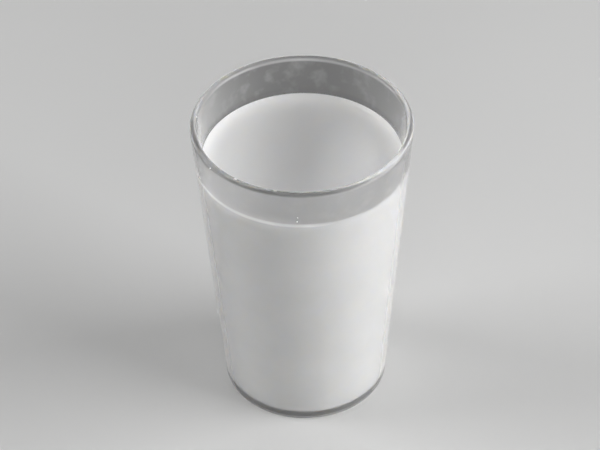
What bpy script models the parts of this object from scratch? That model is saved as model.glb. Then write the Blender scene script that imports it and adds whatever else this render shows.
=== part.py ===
"""A tapered drinking glass nearly full of milk, standing on its flat foot.

Metres, +Z up. The origin is the centre of the circle that the glass stands on. Both pieces
are turned shapes: an outline in the XZ plane, spun about Z by a Screw modifier.
"""

import math

import bpy

# The glass
HEIGHT = 0.1199
RIM_RADIUS = 0.0401
FOOT_RADIUS = 0.0308  # where the line of the outer wall would meet the table
WALL = 0.0026
FLOOR = 0.0027  # height of the inner floor above the table
LIP_ROUND = 0.0010
FOOT_ROUND = 0.0015
FLOOR_ROUND = 0.0018

# The milk
LEVEL = 0.1015  # the flat middle of the surface
MENISCUS_RISE = 0.0031  # how far the surface curves up where it meets the wall
MENISCUS_DECAY = 0.0031  # the distance over which that rise fades to a third
MENISCUS_REACH = 0.0150
CLEARANCE = 0.0003  # between the milk and the glass

# Looks
GLASS_COLOUR = (0.80, 0.81, 0.81)
GLASS_ROUGHNESS = 0.12
GLASS_TRANSMISSION = 0.9
MILK_COLOUR = (0.93, 0.93, 0.91)
MILK_ROUGHNESS = 0.25

# Fineness
TURN_STEPS = 72
WALL_RINGS = 4
ROUND_STEPS = 5
MENISCUS_RINGS = 10
MERGE_DISTANCE = 0.00001

TAPER = math.atan((RIM_RADIUS - FOOT_RADIUS) / HEIGHT)
STRAIGHT_DOWN = -math.pi / 2
STRAIGHT_UP = math.pi / 2


def outer_radius(z):
    """Radius of the straight outer wall at height z."""
    return FOOT_RADIUS + z * math.tan(TAPER)


def inner_radius(z):
    """Radius of the straight inner wall at height z."""
    return outer_radius(z) - WALL / math.cos(TAPER)


def arc(centre, radius, start, end, steps=ROUND_STEPS):
    """Points (radius from the axis, height) on an arc, both ends included."""
    points = []
    for i in range(steps + 1):
        angle = start + (end - start) * i / steps
        points.append((centre[0] + radius * math.cos(angle), centre[1] + radius * math.sin(angle)))
    return points


def straight(start, end, rings=WALL_RINGS):
    """Points strictly between two ends of a straight wall."""
    return [
        (start[0] + (end[0] - start[0]) * i / rings, start[1] + (end[1] - start[1]) * i / rings)
        for i in range(1, rings)
    ]


def floor_round(floor_height, radius, gap):
    """Arc from a flat floor up into the inner wall, set in from that wall by gap."""
    z = floor_height + radius
    centre = (inner_radius(z) - (radius + gap) / math.cos(TAPER), z)
    return arc(centre, radius, STRAIGHT_DOWN, -TAPER)


def lip():
    """The rounded rim, from the inner wall over the top to the outer wall."""
    z = HEIGHT - LIP_ROUND
    inner_centre = (inner_radius(z) + LIP_ROUND / math.cos(TAPER), z)
    outer_centre = (outer_radius(z) - LIP_ROUND / math.cos(TAPER), z)
    inside = arc(inner_centre, LIP_ROUND, math.pi - TAPER, STRAIGHT_UP)
    outside = arc(outer_centre, LIP_ROUND, STRAIGHT_UP, -TAPER)
    return inside + outside


def foot():
    """The rounded lower corner and the flat foot."""
    centre = (outer_radius(FOOT_ROUND) - FOOT_ROUND / math.cos(TAPER), FOOT_ROUND)
    return arc(centre, FOOT_ROUND, -TAPER, STRAIGHT_DOWN) + [(0.0, 0.0)]


def glass_outline():
    """From the middle of the inner floor, up inside, over the rim and down to the foot."""
    inside_corner = floor_round(FLOOR, FLOOR_ROUND, 0.0)
    top = lip()
    underside = foot()
    return (
        [(0.0, FLOOR)]
        + inside_corner
        + straight(inside_corner[-1], top[0])
        + top
        + straight(top[-1], underside[0])
        + underside
    )


def meniscus(inward):
    """Rise of the surface above its flat middle, at a distance inward from its edge."""
    return MENISCUS_RISE * math.exp(-inward / MENISCUS_DECAY)


def milk_outline():
    """From the middle of the surface, out up the meniscus, down the wall and back to the axis."""
    edge_height = LEVEL + meniscus(0.0)
    edge = inner_radius(edge_height) - CLEARANCE / math.cos(TAPER)
    surface = [(0.0, LEVEL), (edge - MENISCUS_REACH, LEVEL)]
    for i in range(1, MENISCUS_RINGS + 1):
        inward = MENISCUS_REACH * (1 - i / MENISCUS_RINGS) ** 2
        surface.append((edge - inward, LEVEL + meniscus(inward)))
    bottom = FLOOR + CLEARANCE
    corner = floor_round(bottom, FLOOR_ROUND - CLEARANCE, CLEARANCE)
    corner.reverse()
    return surface + straight(surface[-1], corner[0]) + corner + [(0.0, bottom)]


def material(name, colour, roughness, transmission):
    """A Principled material with one plain colour."""
    made = bpy.data.materials.new(name)
    made.use_nodes = True
    shader = made.node_tree.nodes["Principled BSDF"]
    shader.inputs["Base Color"].default_value = (*colour, 1.0)
    shader.inputs["Roughness"].default_value = roughness
    shader.inputs["Metallic"].default_value = 0.0
    shader.inputs["Transmission Weight"].default_value = transmission
    made.diffuse_color = (*colour, 1.0)
    return made


def turned(name, outline, finish, collection):
    """An object that spins the outline once round Z."""
    mesh = bpy.data.meshes.new(name)
    vertices = [(radius, 0.0, height) for radius, height in outline]
    edges = [(i, i + 1) for i in range(len(vertices) - 1)]
    mesh.from_pydata(vertices, edges, [])
    mesh.materials.append(finish)
    obj = bpy.data.objects.new(name, mesh)
    collection.objects.link(obj)
    screw = obj.modifiers.new("Turn", "SCREW")
    screw.axis = "Z"
    screw.steps = TURN_STEPS
    screw.render_steps = TURN_STEPS
    screw.use_smooth_shade = True
    screw.use_merge_vertices = True
    screw.merge_threshold = MERGE_DISTANCE
    return obj


def main():
    for obj in list(bpy.data.objects):
        bpy.data.objects.remove(obj)
    collection = bpy.data.collections.new("glass_of_milk")
    bpy.context.scene.collection.children.link(collection)
    glass = material("hazy_glass", GLASS_COLOUR, GLASS_ROUGHNESS, GLASS_TRANSMISSION)
    milk = material("milk", MILK_COLOUR, MILK_ROUGHNESS, 0.0)
    turned("tumbler", glass_outline(), glass, collection)
    turned("milk", milk_outline(), milk, collection)


main()
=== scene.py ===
"""Looks of the glass of milk: a hazy clear tumbler, the milk in it, and a few stray drops."""
import math

import bmesh
import bpy
import numpy as np
from mathutils import Matrix, Vector


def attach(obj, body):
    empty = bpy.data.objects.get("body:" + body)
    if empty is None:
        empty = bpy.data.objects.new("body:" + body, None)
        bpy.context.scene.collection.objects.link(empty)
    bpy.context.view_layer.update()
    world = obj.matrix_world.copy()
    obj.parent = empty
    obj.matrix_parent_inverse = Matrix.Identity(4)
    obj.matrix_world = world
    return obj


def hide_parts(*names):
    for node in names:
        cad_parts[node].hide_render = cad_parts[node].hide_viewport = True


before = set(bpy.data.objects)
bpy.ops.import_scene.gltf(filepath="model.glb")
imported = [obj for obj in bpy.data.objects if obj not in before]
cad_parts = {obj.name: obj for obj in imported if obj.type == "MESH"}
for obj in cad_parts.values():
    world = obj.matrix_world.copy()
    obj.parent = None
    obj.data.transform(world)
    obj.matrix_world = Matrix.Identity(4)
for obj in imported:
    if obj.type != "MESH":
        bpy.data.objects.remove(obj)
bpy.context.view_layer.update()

# The glass, in metres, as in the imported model
HEIGHT = 0.1199
RIM_RADIUS = 0.0401
FOOT_RADIUS = 0.0308
WALL = 0.0026
FLOOR = 0.0027
LIP_ROUND = 0.0010
FOOT_ROUND = 0.0015
FLOOR_ROUND = 0.0018

# The milk, which reaches a little into the wall so that no air gap shows
LEVEL = 0.1015
MENISCUS_RISE = 0.0031
MENISCUS_DECAY = 0.0031
MENISCUS_REACH = 0.0150
INTO_WALL = 0.00015
EDGE_HEIGHT = LEVEL + MENISCUS_RISE

# Fineness of the meshes
TURN_STEPS = 288
ROUND_STEPS = 10
WALL_RINGS = 24
MENISCUS_RINGS = 24
SURFACE_RINGS = 20
DROP_SEGMENTS = 24
DROP_RINGS = 12

# Drops on the rim: angle round the axis in degrees (0 along +X, -90 towards the camera), how
# far up the rounded lip (90 is its top, more is inside), radius, and stretch along the rim
RIM_DROPS = [
    (173.0, 130.0, 0.00032, 1.3),
    (-143.7, 25.0, 0.00023, 1.2),
    (-127.5, 106.0, 0.00028, 2.6),
    (-104.5, 106.0, 0.00024, 2.6),
]
# Drops on the outside of the wall: angle round the axis, height, radius
WALL_DROPS = [
    (-93.2, 0.1073, 0.00020),
    (-92.9, 0.1092, 0.00012),
    (-179.0, 0.0287, 0.00090),
]
DROP_FLATNESS = 0.45

# Camera, fitted to the photograph's 600 x 450 frame. Angles are in radians.
CAMERA_PLACE = (0.0, -0.6647, 0.65785)
CAMERA_YAW = -0.002
CAMERA_PITCH = 0.723
CAMERA_ROLL = 0.019
LENS = 144.0
SENSOR_WIDTH = 36.0

# Soft lamps, all aimed at the middle of the glass: name, place, width and height, watts
LAMPS = [
    ("window", (1.35, -0.25, 0.53), (1.2, 0.34), 22.5),
    ("left_window", (-1.30, 0.15, 0.60), (0.7, 0.18), 9.5),
    ("front_fill", (0.1, -1.50, 0.48), (1.3, 0.36), 6.2),
    ("back_fill", (0.0, 1.50, 0.22), (1.5, 0.30), 6.0),
    ("overhead", (0.0, 0.0, 1.60), (1.2, 1.2), 2.4),
]
ROOM_STRENGTH = 0.01

# The studio's floor, which lies a little below the foot so that the glass meets air underneath
STAGE_GAP = 0.0001
STAGE_SIZE = 3.0
STAGE_CELLS = 8
STAGE_COLOURS = ((0.78, 0.78, 0.775), (0.80, 0.80, 0.795))
STAGE_ROUGHNESS = 0.75

# Noise over each surface: scale per metre, and detail
HAZE_NOISE = (55.0, 4.0)
SMUDGE_NOISE = (150.0, 5.0)
WEAR_NOISE = (160.0, 3.0)
WEAR_STRETCH = (1.0, 1.0, 0.35)
CLOUD_NOISE = (28.0, 3.0)
SKIN_NOISE = (90.0, 2.0)
RIPPLE_NOISE = (30.0, 2.0)
STAGE_NOISE = (6.0, 3.0)

# The glass
GLASS_TRANSMISSION = 0.8
GLASS_IOR = 1.49
GLASS_ROUGHNESS = (0.07, 0.15)
GLASS_SCATTER_DEPTH = 0.003
LIP_POLISH = 0.25  # the lip's roughness as a share of the wall's
SMUDGE_RANGE = (0.5, 0.80)
SMUDGE_STRENGTH = 0.55
LAMP_TINT = 0.58  # what the wall lets through of a lamp's light

# Greys of the glass, from 0 for black to 1 for clear. The haze and smudge greys are the glass's
# own; the others are painted shade, painted shadow, painted light and painted highlights laid over
# the haze
HAZE_GREYS = (0.55, 0.58)
# Painted shade: the back of the wall above the milk is darker, standing in for dark surroundings
# seen through it
BACK_SHADE_GREY = 0.32
# Painted light: the front-left of the wall above the milk is lighter
LEFT_LIGHT_GREY = 0.70
# Painted shade: the foot is darker, standing in for the shaded underside seen through it
FOOT_SHADE_GREY = 0.42
# Painted highlight: a light line round the foot's rounded corner
FOOT_HIGHLIGHT_GREY = 0.80
# Painted shadow: a dark line on the back wall just above the milk's edge
MILK_EDGE_SHADOW_GREY = 0.28
SMUDGE_GREY = 0.78
# Painted highlight: the wall nearly clear along the milk's top edge on the front-left, so the milk
# line shows bright
MILK_LINE_HIGHLIGHT_GREY = 0.98
# Painted highlight: the lip nearly clear, lighter than the hazy wall
LIP_HIGHLIGHT_GREY = 0.97
# Painted shade: the front-left of the lip is darker
NEAR_LIP_SHADE_GREY = 0.48

# Pairs of heights: a grey is absent at the first and beyond it, and full from the second on
ABOVE_MILK = (LEVEL + 0.0030, LEVEL + 0.0050)
FOOT_TOP = (0.0042, 0.0026)
FOOT_LINE_LOW = (0.0007, 0.0010)
FOOT_LINE_TOP = (0.0022, 0.0018)
MILK_EDGE_LOW = (EDGE_HEIGHT - 0.0022, EDGE_HEIGHT - 0.0014)
MILK_EDGE_TOP = (EDGE_HEIGHT + 0.0030, EDGE_HEIGHT + 0.0006)
MILK_LINE_HIGHLIGHT_LOW = (EDGE_HEIGHT - 0.0004, EDGE_HEIGHT + 0.0002)
MILK_LINE_HIGHLIGHT_TOP = (EDGE_HEIGHT + 0.0016, EDGE_HEIGHT + 0.0011)
LIP_LOW = (HEIGHT - 0.0014, HEIGHT - 0.0006)

# Directions from the axis, and the distances along them at which a grey begins and is full
BACK = (0.0, 1.0, 0.0)
FRONT_LEFT = (-0.7, -0.7, 0.0)
NEAR = (-0.5, -0.85, 0.0)
BACK_FADE = (-0.004, 0.036)
LEFT_FADE = (-0.005, 0.040)
MILK_EDGE_FADE = (0.0, 0.012)
MILK_LINE_HIGHLIGHT_FADE = (0.018, 0.026)
NEAR_LIP_FADE = (0.012, 0.030)

# The milk's finish
MILK_COLOURS = ((0.92, 0.92, 0.915), (0.955, 0.955, 0.95))
MILK_ROUGHNESS = (0.34, 0.42)
MILK_IOR = 1.35
MILK_SCATTER = 0.8
MILK_SCATTER_COLOUR = (1.0, 0.95, 0.85)
MILK_SCATTER_DEPTH = 0.0024
RIPPLE_STRENGTH = 0.02
RIPPLE_HEIGHT = 0.0003

TAPER = math.atan((RIM_RADIUS - FOOT_RADIUS) / HEIGHT)
STRAIGHT_DOWN = -math.pi / 2
STRAIGHT_UP = math.pi / 2


def outer_radius(z):
    """Radius of the straight outer wall at height z."""
    return FOOT_RADIUS + z * math.tan(TAPER)


def inner_radius(z):
    """Radius of the straight inner wall at height z."""
    return outer_radius(z) - WALL / math.cos(TAPER)


def arc(centre, radius, start, end, steps=ROUND_STEPS):
    """Points (radius from the axis, height) on an arc, both ends included."""
    angles = [start + (end - start) * i / steps for i in range(steps + 1)]
    return [(centre[0] + radius * math.cos(a), centre[1] + radius * math.sin(a)) for a in angles]


def between(start, end, count):
    """Points strictly between two ends, in equal steps."""
    return [
        (start[0] + (end[0] - start[0]) * i / count, start[1] + (end[1] - start[1]) * i / count)
        for i in range(1, count)
    ]


def floor_round(floor_height, radius, gap):
    """Arc from a flat floor up into the inner wall, set in from that wall by gap."""
    z = floor_height + radius
    centre = (inner_radius(z) - (radius + gap) / math.cos(TAPER), z)
    return arc(centre, radius, STRAIGHT_DOWN, -TAPER)


def tumbler_outline():
    """From the middle of the inner floor, up inside, over the rim and down to the foot."""
    corner = floor_round(FLOOR, FLOOR_ROUND, 0.0)
    z = HEIGHT - LIP_ROUND
    inset = LIP_ROUND / math.cos(TAPER)
    top = arc((inner_radius(z) + inset, z), LIP_ROUND, math.pi - TAPER, STRAIGHT_UP)
    top += arc((outer_radius(z) - inset, z), LIP_ROUND, STRAIGHT_UP, -TAPER)
    foot_centre = (outer_radius(FOOT_ROUND) - FOOT_ROUND / math.cos(TAPER), FOOT_ROUND)
    foot = arc(foot_centre, FOOT_ROUND, -TAPER, STRAIGHT_DOWN)
    points = [(0.0, FLOOR)] + between((0.0, FLOOR), corner[0], SURFACE_RINGS) + corner
    points += between(corner[-1], top[0], WALL_RINGS) + top
    points += between(top[-1], foot[0], WALL_RINGS) + foot
    return points + between(foot[-1], (0.0, 0.0), SURFACE_RINGS) + [(0.0, 0.0)]


def meniscus(inward):
    """Rise of the milk above its flat middle, at a distance inward from the wall."""
    return MENISCUS_RISE * math.exp(-inward / MENISCUS_DECAY)


def milk_outline():
    """From the middle of the surface, up the meniscus, down just inside the wall, to the axis."""
    edge = inner_radius(EDGE_HEIGHT)
    surface = []
    for i in range(MENISCUS_RINGS + 1):
        inward = MENISCUS_REACH * (1 - i / MENISCUS_RINGS) ** 2
        surface.append((edge - inward, LEVEL + meniscus(inward)))
    surface[0] = (surface[0][0], LEVEL)
    surface.append((edge + INTO_WALL / math.cos(TAPER), EDGE_HEIGHT + INTO_WALL))
    corner = floor_round(FLOOR - INTO_WALL, FLOOR_ROUND + INTO_WALL, -INTO_WALL)
    corner.reverse()
    bottom = (0.0, FLOOR - INTO_WALL)
    points = [(0.0, LEVEL)] + between((0.0, LEVEL), surface[0], SURFACE_RINGS) + surface
    points += between(surface[-1], corner[0], WALL_RINGS) + corner
    return points + between(corner[-1], bottom, SURFACE_RINGS) + [bottom]


def finished(name, mesh, finish):
    """An object made from a bmesh, shaded smooth, with one material."""
    for face in mesh.faces:
        face.smooth = True
    data = bpy.data.meshes.new(name)
    mesh.to_mesh(data)
    mesh.free()
    data.materials.append(finish)
    made = bpy.data.objects.new(name, data)
    bpy.context.scene.collection.objects.link(made)
    return made


def lathe(name, outline, finish):
    """A closed mesh turned about Z from an outline that starts and ends on the axis."""
    mesh = bmesh.new()
    start = mesh.verts.new((0.0, 0.0, outline[0][1]))
    rings = []
    for radius, height in outline[1:-1]:
        ring = []
        for i in range(TURN_STEPS):
            turn = 2 * math.pi * i / TURN_STEPS
            ring.append(mesh.verts.new((radius * math.cos(turn), radius * math.sin(turn), height)))
        rings.append(ring)
    end = mesh.verts.new((0.0, 0.0, outline[-1][1]))
    for i in range(TURN_STEPS):
        j = (i + 1) % TURN_STEPS
        mesh.faces.new((start, rings[0][i], rings[0][j]))
        for low, high in zip(rings, rings[1:]):
            mesh.faces.new((low[i], high[i], high[j], low[j]))
        mesh.faces.new((end, rings[-1][j], rings[-1][i]))
    bmesh.ops.recalc_face_normals(mesh, faces=mesh.faces)
    return finished(name, mesh, finish)


def node(tree, kind, **settings):
    """A new node with the given settings."""
    made = tree.nodes.new(kind)
    for key, value in settings.items():
        setattr(made, key, value)
    return made


def noise(tree, where, scale, detail, stretch=(1.0, 1.0, 1.0)):
    """A noise value over the object's own coordinates, in metres."""
    mapping = node(tree, "ShaderNodeMapping")
    mapping.inputs["Scale"].default_value = stretch
    tree.links.new(where, mapping.inputs["Vector"])
    made = node(tree, "ShaderNodeTexNoise")
    made.inputs["Scale"].default_value = scale
    made.inputs["Detail"].default_value = detail
    tree.links.new(mapping.outputs["Vector"], made.inputs["Vector"])
    return made.outputs["Fac"]


def ramp(tree, value, low, high, from_low=0.3, from_high=0.7):
    """A value brought from one range to another, and held at its ends."""
    made = node(tree, "ShaderNodeMapRange")
    made.inputs["From Min"].default_value = from_low
    made.inputs["From Max"].default_value = from_high
    made.inputs["To Min"].default_value = low
    made.inputs["To Max"].default_value = high
    tree.links.new(value, made.inputs["Value"])
    return made.outputs["Result"]


def product(tree, *values):
    """All the values multiplied together."""
    result = values[0]
    for value in values[1:]:
        made = node(tree, "ShaderNodeMath", operation="MULTIPLY")
        tree.links.new(result, made.inputs[0])
        tree.links.new(value, made.inputs[1])
        result = made.outputs["Value"]
    return result


def height_mask(tree, where, none, full):
    """0 at one height and beyond it, 1 at another and beyond that."""
    split = node(tree, "ShaderNodeSeparateXYZ")
    tree.links.new(where, split.inputs["Vector"])
    return ramp(tree, split.outputs["Z"], 0.0, 1.0, none, full)


def height_band(tree, where, low, top):
    """1 in a band of height that fades in from below and out again above."""
    return product(tree, height_mask(tree, where, *low), height_mask(tree, where, *top))


def side_mask(tree, where, way, none, full):
    """0 at one distance along a direction from the axis, 1 at another and beyond it."""
    along = node(tree, "ShaderNodeVectorMath", operation="DOT_PRODUCT")
    tree.links.new(where, along.inputs[0])
    along.inputs[1].default_value = way
    return ramp(tree, along.outputs["Value"], 0.0, 1.0, none, full)


def mix_colours(tree, factor, pair):
    """A colour between the two of a pair."""
    made = node(tree, "ShaderNodeMix", data_type="RGBA")
    tree.links.new(factor, made.inputs["Factor"])
    made.inputs["A"].default_value = (*pair[0], 1.0)
    made.inputs["B"].default_value = (*pair[1], 1.0)
    return made.outputs["Result"]


def lay_over(tree, below, mask, grey):
    """The colour below, with a grey laid over it where the mask is 1."""
    made = node(tree, "ShaderNodeMix", data_type="RGBA")
    tree.links.new(mask, made.inputs["Factor"])
    tree.links.new(below, made.inputs["A"])
    made.inputs["B"].default_value = (grey, grey, grey, 1.0)
    return made.outputs["Result"]


def bump(tree, value, strength, distance):
    """A normal tilted by the slope of a value."""
    made = node(tree, "ShaderNodeBump")
    made.inputs["Strength"].default_value = strength
    made.inputs["Distance"].default_value = distance
    tree.links.new(value, made.inputs["Height"])
    return made.outputs["Normal"]


def material(name):
    """A new material, its node tree, its shader, and the object's own coordinates."""
    made = bpy.data.materials.new(name)
    made.use_nodes = True
    tree = made.node_tree
    where = node(tree, "ShaderNodeTexCoord").outputs["Object"]
    return made, tree, tree.nodes["Principled BSDF"], where


def glass_tint(tree, where, lip):
    """The colour of the glass: a grey haze with smudges, and painted shade, painted shadow,
    painted light and painted highlights, each further grey laid over those before it.
    """
    haze = ramp(tree, noise(tree, where, *HAZE_NOISE), 0.0, 1.0)
    tint = mix_colours(tree, haze, [(grey, grey, grey) for grey in HAZE_GREYS])
    above_milk = height_mask(tree, where, *ABOVE_MILK)
    # Painted shade on the back of the wall above the milk
    back = product(tree, above_milk, side_mask(tree, where, BACK, *BACK_FADE))
    # Painted light on the front-left of the wall above the milk
    left = product(tree, above_milk, side_mask(tree, where, FRONT_LEFT, *LEFT_FADE))
    # Painted shade on the foot
    foot = height_mask(tree, where, *FOOT_TOP)
    # Painted highlight: a light line round the foot
    foot_highlight = height_band(tree, where, FOOT_LINE_LOW, FOOT_LINE_TOP)
    # Painted shadow: a dark line on the back wall just above the milk's edge
    milk_edge_shadow = product(
        tree,
        height_band(tree, where, MILK_EDGE_LOW, MILK_EDGE_TOP),
        side_mask(tree, where, BACK, *MILK_EDGE_FADE),
    )
    smudge = ramp(tree, noise(tree, where, *SMUDGE_NOISE), 0.0, SMUDGE_STRENGTH, *SMUDGE_RANGE)
    # Painted highlight along the milk's top edge on the front-left
    milk_line_highlight = product(
        tree,
        height_band(tree, where, MILK_LINE_HIGHLIGHT_LOW, MILK_LINE_HIGHLIGHT_TOP),
        side_mask(tree, where, FRONT_LEFT, *MILK_LINE_HIGHLIGHT_FADE),
    )
    # Painted shade on the front-left of the lip
    near_lip_shade = product(tree, lip, side_mask(tree, where, NEAR, *NEAR_LIP_FADE))
    layers = [
        (back, BACK_SHADE_GREY),
        (left, LEFT_LIGHT_GREY),
        (foot, FOOT_SHADE_GREY),
        (foot_highlight, FOOT_HIGHLIGHT_GREY),
        (milk_edge_shadow, MILK_EDGE_SHADOW_GREY),
        (product(tree, smudge, above_milk), SMUDGE_GREY),
        (milk_line_highlight, MILK_LINE_HIGHLIGHT_GREY),
        # Painted highlight round the lip
        (lip, LIP_HIGHLIGHT_GREY),
        (near_lip_shade, NEAR_LIP_SHADE_GREY),
    ]
    for mask, grey in layers:
        tint = lay_over(tree, tint, mask, grey)
    return tint


def hazy_glass():
    """Clear wall with a grey haze and fine wear that lets lamps through with a tint; its colour
    also carries painted shade and painted highlights.
    """
    made, tree, shader, where = material("hazy_glass")
    lip = height_mask(tree, where, *LIP_LOW)
    tree.links.new(glass_tint(tree, where, lip), shader.inputs["Base Color"])
    wear = ramp(tree, noise(tree, where, *WEAR_NOISE, WEAR_STRETCH), *GLASS_ROUGHNESS)
    polish = ramp(tree, lip, 1.0, LIP_POLISH, 0.0, 1.0)
    tree.links.new(product(tree, wear, polish), shader.inputs["Roughness"])
    shader.inputs["Transmission Weight"].default_value = GLASS_TRANSMISSION
    shader.inputs["IOR"].default_value = GLASS_IOR
    shader.inputs["Subsurface Weight"].default_value = 1.0
    shader.inputs["Subsurface Radius"].default_value = (1.0, 1.0, 1.0)
    shader.inputs["Subsurface Scale"].default_value = GLASS_SCATTER_DEPTH
    lamps = node(tree, "ShaderNodeBsdfTransparent")
    lamps.inputs["Color"].default_value = (LAMP_TINT, LAMP_TINT, LAMP_TINT, 1.0)
    path = node(tree, "ShaderNodeLightPath")
    mix = node(tree, "ShaderNodeMixShader")
    tree.links.new(path.outputs["Is Shadow Ray"], mix.inputs["Fac"])
    tree.links.new(shader.outputs["BSDF"], mix.inputs[1])
    tree.links.new(lamps.outputs["BSDF"], mix.inputs[2])
    tree.links.new(mix.outputs["Shader"], tree.nodes["Material Output"].inputs["Surface"])
    return made


def milk_white():
    """White, softly translucent liquid with a wet, almost level skin."""
    made, tree, shader, where = material("milk_white")
    cloud = ramp(tree, noise(tree, where, *CLOUD_NOISE), 0.0, 1.0)
    tree.links.new(mix_colours(tree, cloud, MILK_COLOURS), shader.inputs["Base Color"])
    skin = ramp(tree, noise(tree, where, *SKIN_NOISE), *MILK_ROUGHNESS)
    tree.links.new(skin, shader.inputs["Roughness"])
    ripple = bump(tree, noise(tree, where, *RIPPLE_NOISE), RIPPLE_STRENGTH, RIPPLE_HEIGHT)
    tree.links.new(ripple, shader.inputs["Normal"])
    shader.inputs["IOR"].default_value = MILK_IOR
    shader.inputs["Subsurface Weight"].default_value = MILK_SCATTER
    shader.inputs["Subsurface Radius"].default_value = MILK_SCATTER_COLOUR
    shader.inputs["Subsurface Scale"].default_value = MILK_SCATTER_DEPTH
    return made


def pale_floor():
    """Matt, almost even, pale grey."""
    made, tree, shader, where = material("pale_floor")
    grain = ramp(tree, noise(tree, where, *STAGE_NOISE), 0.0, 1.0)
    tree.links.new(mix_colours(tree, grain, STAGE_COLOURS), shader.inputs["Base Color"])
    shader.inputs["Roughness"].default_value = STAGE_ROUGHNESS
    return made


def rim_seat(angle, tilt, radius, stretch):
    """Where a drop sits on the rounded lip."""
    tilt = math.radians(tilt)
    rim_middle = (RIM_RADIUS + inner_radius(HEIGHT)) / 2
    half_flat = (WALL / 2 - LIP_ROUND) / math.cos(TAPER)
    out = rim_middle + math.copysign(half_flat, math.cos(tilt)) + LIP_ROUND * math.cos(tilt)
    up = HEIGHT - LIP_ROUND * (1.0 - math.sin(tilt))
    return angle, out, up, radius, stretch, tilt


def wall_seat(angle, height, radius):
    """Where a round drop sits on the outside of the wall."""
    return angle, outer_radius(height), height, radius, 1.0, -TAPER


def drops(name, finish):
    """Small flattened beads of milk that sit on the rim and on the outside of the wall."""
    mesh = bmesh.new()
    seats = [rim_seat(*drop) for drop in RIM_DROPS] + [wall_seat(*drop) for drop in WALL_DROPS]
    for angle, distance, height, radius, stretch, tilt in seats:
        turn = math.radians(angle)
        along_x = math.cos(turn)
        along_y = math.sin(turn)
        away = Vector((along_x * math.cos(tilt), along_y * math.cos(tilt), math.sin(tilt)))
        facing = away.to_track_quat("Z", "Y").to_matrix().to_4x4()
        place = Matrix.Translation((distance * along_x, distance * along_y, height))
        shape = Matrix.Diagonal((radius * stretch, radius, radius * DROP_FLATNESS, 1.0))
        bmesh.ops.create_uvsphere(
            mesh,
            u_segments=DROP_SEGMENTS,
            v_segments=DROP_RINGS,
            radius=1.0,
            matrix=place @ facing @ shape,
        )
    return finished(name, mesh, finish)


def camera():
    """The photograph's viewpoint: turned by yaw, looking down by pitch, rolled about its axis."""
    forward = Vector((
        math.sin(CAMERA_YAW) * math.cos(CAMERA_PITCH),
        math.cos(CAMERA_YAW) * math.cos(CAMERA_PITCH),
        -math.sin(CAMERA_PITCH),
    ))
    level_right = Vector((math.cos(CAMERA_YAW), -math.sin(CAMERA_YAW), 0.0))
    level_down = forward.cross(level_right)
    right = math.cos(CAMERA_ROLL) * level_right + math.sin(CAMERA_ROLL) * level_down
    down = -math.sin(CAMERA_ROLL) * level_right + math.cos(CAMERA_ROLL) * level_down
    data = bpy.data.cameras.new("camera")
    data.lens = LENS
    data.sensor_width = SENSOR_WIDTH
    made = bpy.data.objects.new("camera", data)
    turn = Matrix((right, -down, -forward)).transposed().to_4x4()
    made.matrix_world = Matrix.Translation(CAMERA_PLACE) @ turn
    bpy.context.scene.collection.objects.link(made)
    bpy.context.scene.camera = made


def soft_lamp(name, place, size, power):
    """A rectangular lamp that faces the middle of the glass."""
    data = bpy.data.lights.new(name, "AREA")
    data.shape = "RECTANGLE"
    data.size, data.size_y = size
    data.energy = power
    made = bpy.data.objects.new(name, data)
    made.location = place
    ahead = Vector((0.0, 0.0, HEIGHT / 2)) - Vector(place)
    made.rotation_euler = ahead.to_track_quat("-Z", "Y").to_euler()
    bpy.context.scene.collection.objects.link(made)


def studio():
    """Pale floor, and windows at the right and left with soft fill all round."""
    mesh = bmesh.new()
    bmesh.ops.create_grid(
        mesh, x_segments=STAGE_CELLS, y_segments=STAGE_CELLS, size=STAGE_SIZE)
    floor = finished("floor", mesh, pale_floor())
    floor.location.z = -STAGE_GAP
    for lamp in LAMPS:
        soft_lamp(*lamp)
    room = bpy.data.worlds.new("room")
    room.use_nodes = True
    background = room.node_tree.nodes["Background"]
    background.inputs["Color"].default_value = (1.0, 1.0, 1.0, 1.0)
    background.inputs["Strength"].default_value = ROOM_STRENGTH
    bpy.context.scene.world = room
    bpy.context.scene.view_settings.view_transform = "Standard"


camera()
studio()

milk = milk_white()
glass = hazy_glass()

tumbler = lathe("tumbler_wall", tumbler_outline(), glass)
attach(tumbler, "root")
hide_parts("tumbler")

body = lathe("milk_body", milk_outline(), milk)
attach(body, "root")
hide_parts("milk")

beads = drops("milk_drops", milk)
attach(beads, "root")
